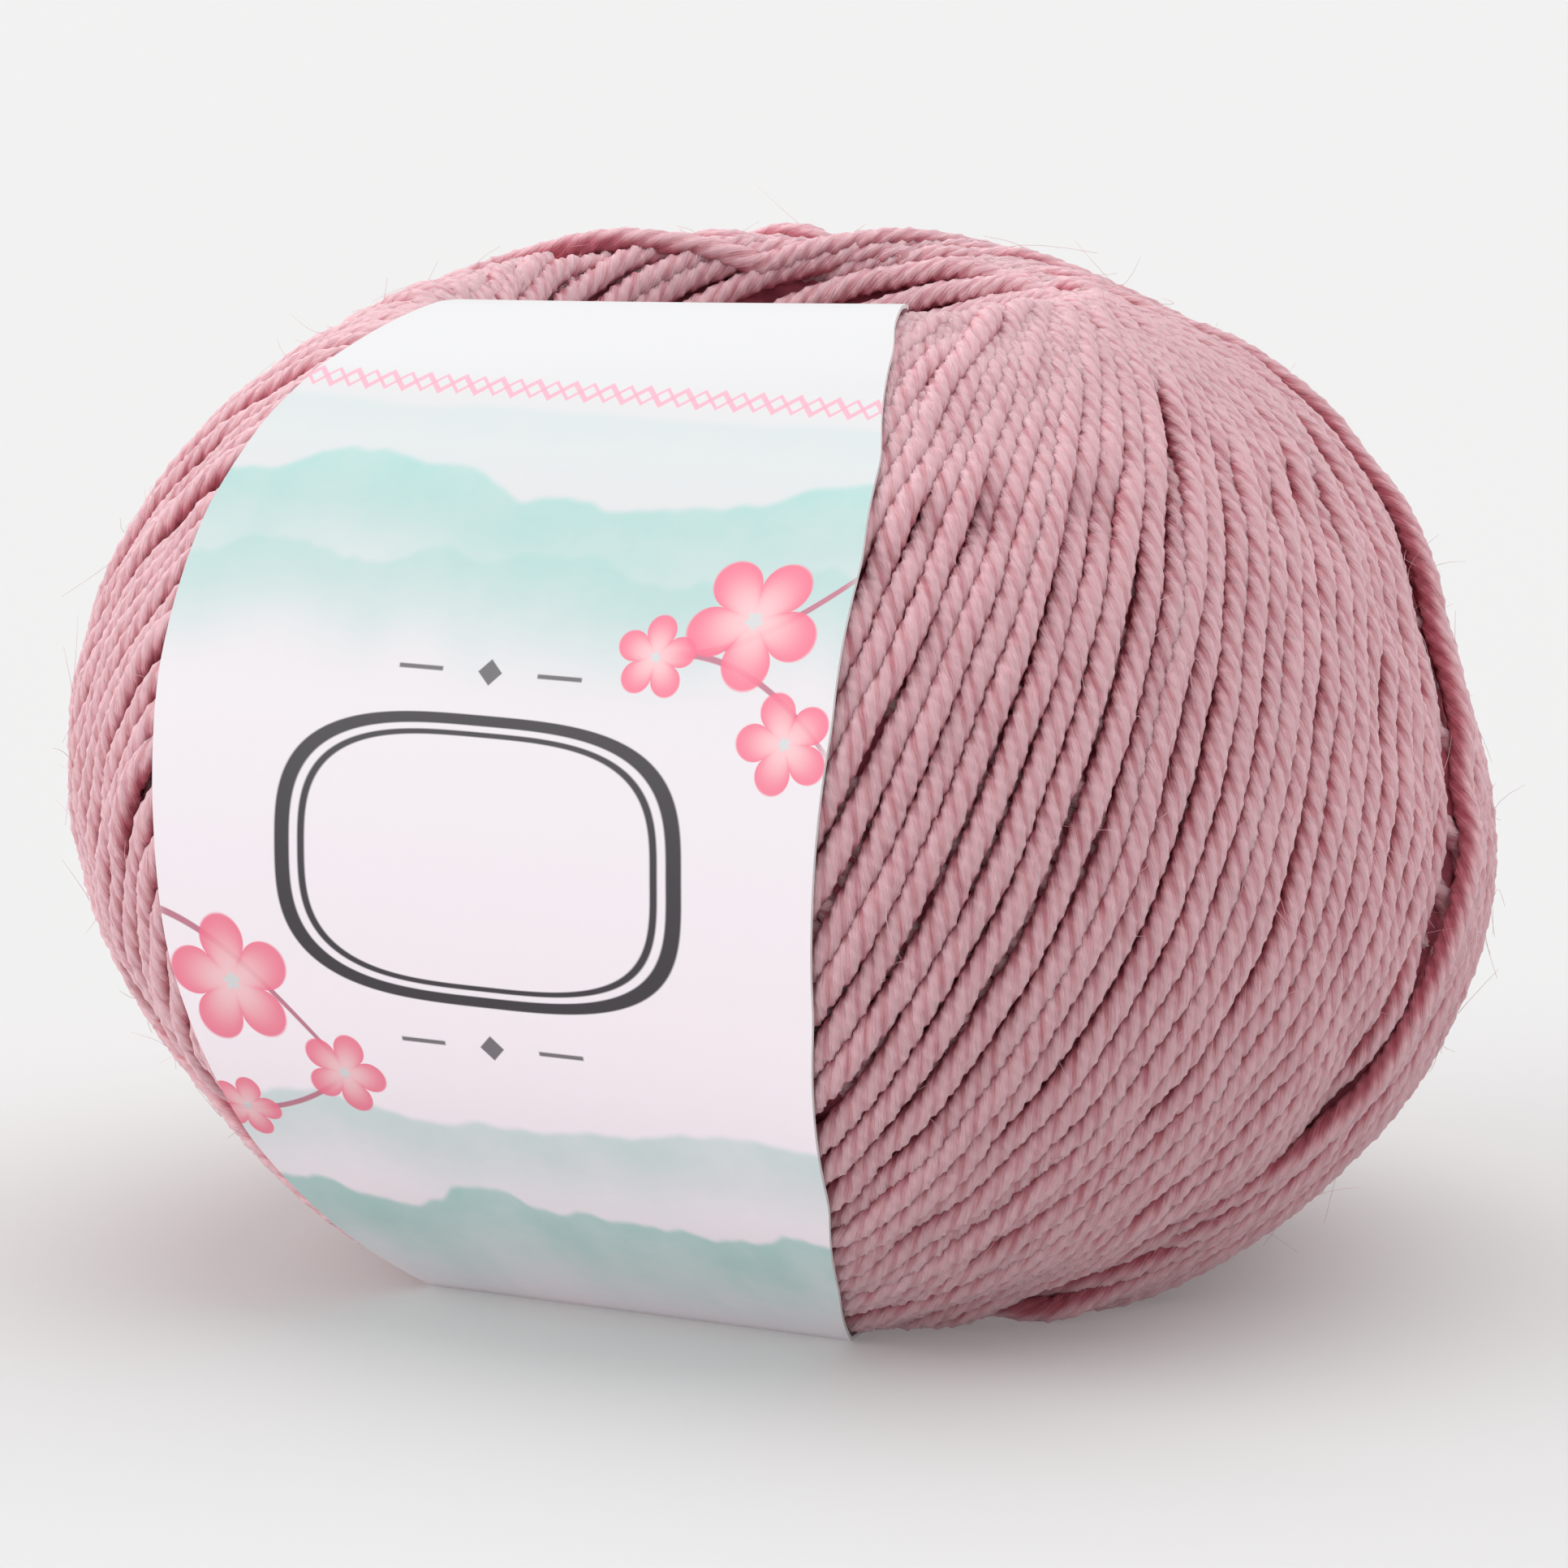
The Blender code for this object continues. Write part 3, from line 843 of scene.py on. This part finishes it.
def loose_fibres(runs):
    """Short hairs that have come loose from the strands."""
    rng = np.random.default_rng(WINDING_SEED + 4)
    points = np.vstack([run[0] for run in runs])
    normals = np.vstack([run[1] for run in runs])
    tangents = np.vstack([np.gradient(run[0], axis=0) for run in runs])
    free = np.flatnonzero(beside_band(points) & (points[:, 2] > 3 * STRAND_RADIUS))
    verts, faces = [], []
    for index in rng.choice(free, FIBRES):
        out = normals[index] / np.linalg.norm(normals[index])
        run = tangents[index] / np.linalg.norm(tangents[index])
        side = np.cross(out, run)
        length = rng.uniform(*FIBRE_LENGTHS)
        aside = rng.uniform(-FIBRE_ROOT_SPREAD, FIBRE_ROOT_SPREAD)
        start = points[index] + STRAND_RADIUS * (FIBRE_ROOT * out + aside * side)
        heading = rng.choice([-1, 1]) * run + rng.uniform(-FIBRE_SWERVE, FIBRE_SWERVE) * side
        heading = heading + rng.uniform(*FIBRE_RISES) * out
        bend = rng.normal(0.0, FIBRE_BEND, 3) - FIBRE_DROOP * out
        share = np.linspace(0.0, 1.0, FIBRE_SEGMENTS + 1)[:, None]
        line = start + length * (share * heading / np.linalg.norm(heading) + FIBRE_CURVE * share**2 * bend)
        along = np.gradient(line, axis=0)
        across = unit(np.cross(along, out + 0.1))
        over = np.cross(unit(along), across)
        taper = FIBRE_THICKNESS * (1 - 0.5 * share)
        first = len(verts)
        for turn in range(FIBRE_SIDES):
            angle = math.tau * turn / FIBRE_SIDES
            verts += (line + taper * (math.cos(angle) * across + math.sin(angle) * over)).tolist()
        ring = FIBRE_SEGMENTS + 1
        for step in range(FIBRE_SEGMENTS):
            for turn in range(FIBRE_SIDES):
                here = first + turn * ring + step
                after = first + (turn + 1) % FIBRE_SIDES * ring + step
                faces.append((here, after, after + 1, here + 1))
        roots = [first + turn * ring for turn in range(FIBRE_SIDES)]
        faces.append(tuple(reversed(roots)))
        faces.append(tuple(root + ring - 1 for root in roots))
    verts = [(x, y, max(z, FIBRE_THICKNESS)) for x, y, z in verts]
    mesh = bpy.data.meshes.new("loose_fibres")
    mesh.from_pydata(verts, [], faces)
    mesh.shade_smooth()
    return linked("loose_fibres", mesh)


# ---- The paper band ----
def make_paper():
    """The paper band: a thin strip with a map of millimetres across and along it, unprinted inside.

    Returns it with its greatest width, its length and its area, laid flat.
    """
    paper = roll_band("printed_paper_band", PAPER_STATIONS, PAPER_STRIPS)
    line = band_line()
    steps = np.diff(np.vstack([line, line[:1]])[:, :2], axis=0)
    length = float(np.linalg.norm(steps, axis=1).sum()) * BELLY
    lay = paper.data.uv_layers.active
    lay.name = "print"
    for corner in lay.uv:
        across, along = 2 * corner.vector.x - 1, corner.vector.y
        half_width = np.interp(along * LINE_STEPS, np.arange(LINE_STEPS), line[:, 2]) * BELLY
        corner.vector = (across * half_width * MILLIMETRES, along * length * MILLIMETRES)
    bpy.ops.object.select_all(action="DESELECT")
    paper.select_set(True)
    bpy.context.view_layer.objects.active = paper
    wall = paper.modifiers.new("paper", "SOLIDIFY")
    wall.thickness = PAPER_THICKNESS
    wall.offset = -1.0
    wall.material_offset = 1
    wall.material_offset_rim = 1
    paper.data.materials.append(printed_paper_material())
    paper.data.materials.append(plain_paper_material())
    bpy.ops.object.modifier_apply(modifier=wall.name)
    paper.data.shade_smooth()
    bpy.ops.object.shade_smooth_by_angle(angle=PAPER_EDGE_ANGLE)
    area = float(np.mean(line[:, 2])) * 2 * BELLY * length
    return paper, float(2 * line[:, 2].max() * BELLY), length, area


# ---- Materials ----
class Graph:
    """Short calls for one node tree."""

    def __init__(self, tree):
        self.tree = tree

    def put(self, socket, value):
        """Links an output to a socket, or sets the socket to a plain value."""
        if isinstance(value, bpy.types.NodeSocket):
            self.tree.links.new(value, socket)
        else:
            socket.default_value = value

    def fill(self, node, **inputs):
        """Puts values on a node's inputs, named with underscores for their spaces."""
        for name, value in inputs.items():
            self.put(node.inputs[name.replace("_", " ")], value)
        return node

    def node(self, kind, settings=None, **inputs):
        made = self.tree.nodes.new(kind)
        for name, value in (settings or {}).items():
            setattr(made, name, value)
        return self.fill(made, **inputs)

    def math(self, operation, first, second=0.0, third=0.0, clamp=False):
        made = self.node("ShaderNodeMath", {"operation": operation, "use_clamp": clamp})
        for socket, value in zip(made.inputs, (first, second, third)):
            self.put(socket, value)
        return made.outputs[0]

    def plus(self, first, second, clamp=False):
        return self.math("ADD", first, second, clamp=clamp)

    def minus(self, first, second):
        return self.math("SUBTRACT", first, second)

    def times(self, first, second):
        return self.math("MULTIPLY", first, second)

    def size(self, value):
        return self.math("ABSOLUTE", value)

    def between(self, value, low, high, new_low=0.0, new_high=1.0):
        """A smooth change from new low to new high, as the value goes from low to high."""
        made = self.node("ShaderNodeMapRange", {"interpolation_type": "SMOOTHSTEP"})
        for name, given in zip(RANGE_SOCKETS, (value, low, high, new_low, new_high)):
            self.put(made.inputs[name], given)
        return made.outputs[0]

    def mix(self, share, first, second):
        made = self.node("ShaderNodeMix", {"data_type": "RGBA"})
        for place, value in zip(MIX_PLACES, (share, first, second)):
            self.put(made.inputs[place], value)
        return made.outputs[2]

    def vector(self, x, y):
        return self.node("ShaderNodeCombineXYZ", X=x, Y=y).outputs[0]

    def noise(self, vector, scale, detail=2.0, roughness=0.5):
        made = self.node("ShaderNodeTexNoise", Vector=vector, Scale=scale, Detail=detail, Roughness=roughness)
        return made.outputs["Fac"]

    def bump(self, height, strength, distance):
        return self.node("ShaderNodeBump", Strength=strength, Distance=distance, Height=height).outputs[0]

    def place(self):
        """The place on the piece, in metres."""
        return self.node("ShaderNodeTexCoord").outputs["Object"]

    def mapped(self, name):
        """The piece's own map, and its two parts."""
        lay = self.node("ShaderNodeUVMap", {"uv_map": name}).outputs[0]
        parts = self.node("ShaderNodeSeparateXYZ", Vector=lay).outputs
        return lay, parts[0], parts[1]


def new_material(name):
    """A new material, the calls for its nodes, and its shader."""
    material = bpy.data.materials.new(name)
    material.use_nodes = True
    return material, Graph(material.node_tree), material.node_tree.nodes["Principled BSDF"]


def wool_material():
    """Twisted wool with random tone: pale on each ply, with painted shade in the furrows between plies and
    darker painted shade in the valleys between strands.
    """
    material, graph, shader = new_material("dusty_pink_wool")
    _, around, along = graph.mapped("strand")

    def grain(cells, detail, roughness=0.5):
        place = graph.vector(graph.times(around, cells[0]), graph.times(along, cells[1]))
        return graph.noise(place, 1.0, detail, roughness)

    ply = graph.math("FRACT", graph.times(around, float(PLIES)))
    off_middle = graph.size(graph.minus(ply, 0.5))
    lie = grain(LIE_GRAIN, 4.0, 0.62)
    patch = grain(PATCH_GRAIN, 2.0)
    shade = graph.times(graph.minus(lie, LIE_MIDDLE), LIE_STRENGTH)
    shade = graph.plus(shade, graph.times(graph.minus(patch, 0.5), PATCH_STRENGTH))
    # Painted shade in the furrows between plies, made uneven by the patches.
    furrow_shade = graph.between(off_middle, *PLY_FURROW_SHADE)
    furrow_shade = graph.times(furrow_shade, graph.between(patch, 0.3, 0.7, *FURROW_SHADE_DEPTHS))
    colour = graph.mix(graph.plus(furrow_shade, shade, clamp=True), LIT_WOOL, DEEP_WOOL_AND_FURROW_SHADE)
    # Painted shade in the valleys between strands, by which way each point of the strand faces.
    crown = graph.node("ShaderNodeAttribute", {"attribute_name": "crown"}).outputs["Fac"]
    uneven = graph.times(shade, VALLEY_SHADE_UNEVENNESS)
    valley_shade = graph.plus(graph.between(crown, *VALLEY_SHADE_SIDES), uneven, clamp=True)
    graph.fill(
        shader,
        Base_Color=graph.mix(graph.times(valley_shade, VALLEY_SHADE_STRENGTH), colour, VALLEY_PAINTED_SHADE),
        Roughness=0.92,
        Specular_IOR_Level=0.18,
        Sheen_Weight=graph.between(crown, *SHEEN_SIDES),
        Sheen_Roughness=0.6,
        Sheen_Tint=WOOL_SHEEN,
        Subsurface_Weight=0.3,
        Subsurface_Radius=LIGHT_SPREAD,
        Subsurface_Scale=LIGHT_SPREAD_SCALE,
        Normal=graph.bump(lie, 0.8, 0.0004),
    )
    return material


def gap_shade_material():
    """The wool deep in the gaps: painted dark for the shade it lies in, with the lie of strands that can't be
    made out.
    """
    material, graph, shader = new_material("wool_in_the_gaps_painted_shade")
    lie = graph.noise(graph.place(), 620.0, 3.0)
    graph.fill(
        shader,
        Base_Color=graph.mix(graph.between(lie, 0.35, 0.65), GAP_SHADE, GAP_WOOL_PAINTED_SHADE),
        Roughness=0.95,
        Normal=graph.bump(lie, 0.9, 0.0006),
    )
    return material


def fibre_material():
    """Loose wool hairs, paler than the strands because light comes through them."""
    material, graph, shader = new_material("loose_wool_fibre")
    colour = graph.mix(graph.noise(graph.place(), 120.0), FIBRE_DARK, FIBRE_PALE)
    graph.fill(shader, Base_Color=colour, Roughness=0.8)
    return material


def blossom_group():
    """A five-petalled flower: its mask, and how far out on the petals a point lies."""
    group = bpy.data.node_groups.new("blossom", "ShaderNodeTree")
    for name in (*BLOSSOM_SOCKETS, "Mask", "Reach"):
        way = "INPUT" if name in BLOSSOM_SOCKETS else "OUTPUT"
        group.interface.new_socket(name, in_out=way, socket_type="NodeSocketFloat")
    graph = Graph(group)
    given = graph.node("NodeGroupInput").outputs
    across = graph.minus(given["Across"], given["Middle Across"])
    along = graph.minus(given["Along"], given["Middle Along"])
    far = graph.math("SQRT", graph.plus(graph.times(across, across), graph.times(along, along)))
    angle = graph.plus(graph.math("ARCTAN2", along, across), given["Turn"])
    lobe = graph.size(graph.math("COSINE", graph.times(angle, PETALS / 2)))
    lobe = graph.math("POWER", lobe, PETAL_ROUNDNESS)
    edge = graph.times(given["Size"], graph.math("MULTIPLY_ADD", lobe, 0.5, 0.5))
    reach = graph.math("DIVIDE", far, edge)
    graph.node("NodeGroupOutput", Mask=graph.between(reach, 0.94, 1.0, 1.0, 0.0), Reach=reach)
    return group


def printed_paper_material():
    """Satin paper printed with pale hills, blossom sprigs, a zigzag border and an empty frame."""
    material, graph, shader = new_material("printed_paper")
    lay, across, along = graph.mapped("print")
    cloudy = graph.noise(lay, 0.16, 4.0, 0.6)
    # Lavender print at the front, fading towards the top to white dimmed with painted shade.
    colour = graph.mix(graph.between(along, *LAVENDER_TO_SHADE_FADE), PAPER_LAVENDER, PAPER_WHITE_PAINTED_SHADE)

    for height, rise, reach, fade, seed, strength in HILLS:
        ridge = graph.noise(graph.vector(across, seed), reach, 3.0, 0.45)
        top = graph.math("MULTIPLY_ADD", ridge, 2 * rise, height - rise)
        below = graph.minus(top, along)
        wash = graph.times(graph.between(below, 0.0, 0.7), graph.between(below, fade, 0.0))
        wash = graph.times(wash, graph.between(cloudy, 0.1, 0.75, 0.6 * strength, strength))
        colour = graph.mix(wash, colour, MINT)

    def stroke(distance, width):
        """A line of a width, by the distance from its middle."""
        return graph.between(graph.size(distance), width / 2, width / 2 + LINE_EDGE, 1.0, 0.0)

    def inside(value, low, high):
        """Where a value is between two ends."""
        begun = graph.between(value, low, low + END_EDGE)
        return graph.times(begun, graph.between(value, high - END_EDGE, high, 1.0, 0.0))

    for x0, y0, x1, y1, bow, width in STEMS:
        share = graph.math("DIVIDE", graph.minus(across, x0), x1 - x0)
        arch = graph.times(graph.times(share, graph.minus(1.0, share)), 4 * bow)
        curve = graph.plus(graph.math("MULTIPLY_ADD", share, y1 - y0, y0), arch)
        line = stroke(graph.minus(along, curve), width)
        colour = graph.mix(graph.times(line, inside(share, 0.0, 1.0)), colour, STEM)

    blossom = blossom_group()
    for x, y, size, turn in BLOSSOMS:
        flower = graph.node("ShaderNodeGroup", {"node_tree": blossom})
        for name, value in zip(BLOSSOM_SOCKETS, (across, along, x, y, size, turn)):
            graph.put(flower.inputs[name], value)
        mask, reach = flower.outputs
        petal = graph.mix(graph.between(reach, 0.15, 1.0), PETAL_PALE, PETAL_DEEP)
        petal = graph.mix(graph.between(reach, 0.16, 0.1), petal, PAPER_WHITE_PAINTED_SHADE)
        colour = graph.mix(graph.times(mask, PETAL_INK), colour, petal)

    half_pitch = BORDER_PITCH / 2
    zigzag = graph.math("PINGPONG", across, half_pitch)
    for wave, width in zip((zigzag, graph.minus(half_pitch, zigzag)), BORDER_LINES):
        wave = graph.math("MULTIPLY_ADD", wave, BORDER_HEIGHT / half_pitch, BORDER_PLACE)
        line = stroke(graph.minus(along, wave), width)
        colour = graph.mix(graph.times(line, INK), colour, BORDER_PINK)

    wide = graph.size(graph.math("DIVIDE", across, FRAME_HALF_WIDTH))
    tall = graph.size(graph.math("DIVIDE", graph.minus(along, FRAME_PLACE), FRAME_HALF_HEIGHT))
    wide, tall = (graph.math("POWER", side, FRAME_SQUARENESS) for side in (wide, tall))
    ring = graph.math("POWER", graph.plus(wide, tall), 1 / FRAME_SQUARENESS)
    for place, width in FRAME_LINES:
        line = stroke(graph.times(graph.minus(ring, place), FRAME_HALF_HEIGHT), width)
        colour = graph.mix(line, colour, CHARCOAL)

    apart = graph.size(across)
    for place in RULES:
        dashes = graph.times(stroke(graph.minus(along, place), RULE_WIDTH), inside(apart, *RULE_REACH))
        from_middle = graph.plus(apart, graph.size(graph.minus(along, place)))
        rule = graph.math("MAXIMUM", dashes, graph.between(from_middle, *DIAMOND_EDGE, 1.0, 0.0))
        colour = graph.mix(graph.times(rule, INK), colour, CHARCOAL)

    finish_paper(graph, shader, colour, lay, 0.42)
    return material


def plain_paper_material():
    """The unprinted back of the paper."""
    material, graph, shader = new_material("plain_paper")
    lay = graph.node("ShaderNodeUVMap", {"uv_map": "print"}).outputs[0]
    finish_paper(graph, shader, graph.mix(graph.noise(lay, 1.4, 5.0), PAPER_BACK, PAPER_WHITE_PAINTED_SHADE), lay, 0.62)
    return material


def finish_paper(graph, shader, colour, lay, roughness):
    """The paper's colour, its low gloss and its fine tooth."""
    tooth = graph.noise(lay, 7.0, 4.0, 0.65)
    graph.fill(
        shader,
        Base_Color=colour,
        Roughness=graph.between(tooth, 0.2, 0.8, roughness - 0.05, roughness + 0.08),
        Specular_IOR_Level=0.35,
        Normal=graph.bump(tooth, 0.12, 0.00004),
    )


# ---- Studio ----
def make_camera():
    """The photograph's view."""
    data = bpy.data.cameras.new("camera")
    camera = linked("camera", data)
    level, rise = math.cos(CAMERA_ELEVATION), math.sin(CAMERA_ELEVATION)
    back = Vector((math.sin(CAMERA_AZIMUTH) * level, -math.cos(CAMERA_AZIMUTH) * level, rise))
    right = Vector((math.cos(CAMERA_AZIMUTH), math.sin(CAMERA_AZIMUTH), 0.0))
    aim = AXIS + (Vector((0.0, 0.0, AIM_HEIGHT)) - right * AIM_LEFT) * BELLY
    camera.location = aim + back * CAMERA_DISTANCE * BELLY
    camera.rotation_euler = (-back).to_track_quat("-Z", "Y").to_euler()
    data.lens = CAMERA_LENS
    data.clip_start, data.clip_end = CAMERA_CLIPS
    bpy.context.scene.camera = camera


def make_floor():
    """A pale floor that glows a little."""
    bpy.ops.object.select_all(action="DESELECT")
    bpy.ops.mesh.primitive_circle_add(vertices=FLOOR_CORNERS, radius=FLOOR_RADIUS, fill_type="NGON")
    floor = bpy.context.active_object
    floor.name = "studio_floor"
    material, graph, shader = new_material("studio_floor")
    graph.fill(
        shader,
        Base_Color=FLOOR_GREY,
        Roughness=0.8,
        Emission_Color=FLOOR_GLOW,
        Emission_Strength=FLOOR_GLOW_STRENGTH,
    )
    floor.data.materials.append(material)


def make_light():
    """A pale room, brighter on one side, and wide soft suns."""
    world = bpy.data.worlds.new("studio")
    world.use_nodes = True
    graph = Graph(world.node_tree)
    facing = graph.node("ShaderNodeVectorMath", {"operation": "DOT_PRODUCT"})
    graph.put(facing.inputs[0], graph.node("ShaderNodeTexCoord").outputs["Generated"])
    graph.put(facing.inputs[1], ROOM_BRIGHT_SIDE)
    light = graph.math("MULTIPLY_ADD", facing.outputs["Value"], ROOM_CONTRAST * ROOM_LIGHT, ROOM_LIGHT)
    graph.fill(world.node_tree.nodes["Background"], Color=ROOM_WHITE, Strength=light)
    bpy.context.scene.world = world
    for name, towards, energy, spread in LIGHTS:
        sun = bpy.data.lights.new(name, "SUN")
        sun.energy = energy
        sun.angle = spread
        linked(name, sun).rotation_euler = Vector(towards).to_track_quat("Z", "Y").to_euler()
    bpy.context.scene.view_settings.view_transform = "Standard"


def ride(piece, node):
    """The piece stands for a node of the frame: it rides on the root, and the node is hidden."""
    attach(piece, "root")
    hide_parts(node)


make_camera()
make_floor()
make_light()
strand_seat = seat_of_band(PAPER_THICKNESS + STRAND_RADIUS)
under_seat = seat_of_band(PAPER_THICKNESS + UNDERLAYER_DEPTH)
pieces, strand_runs = wound_strands(strand_seat)
lining = strand_mesh("core_lining", lining_strands(strand_seat), LINING_STEP)
underlayer = make_underlayer(under_seat)
fibres = loose_fibres(strand_runs)
paper, widest, paper_length, paper_area = make_paper()
wool = wool_material()
finishes = [(piece, wool) for piece in pieces + [lining]]
# The wool beneath the strands takes the gaps' painted shade.
finishes += [(underlayer, gap_shade_material()), (fibres, fibre_material())]
for piece, material in finishes:
    piece.data.materials.append(material)
    ride(piece, "yarn_ball")
ride(paper, "paper_band")
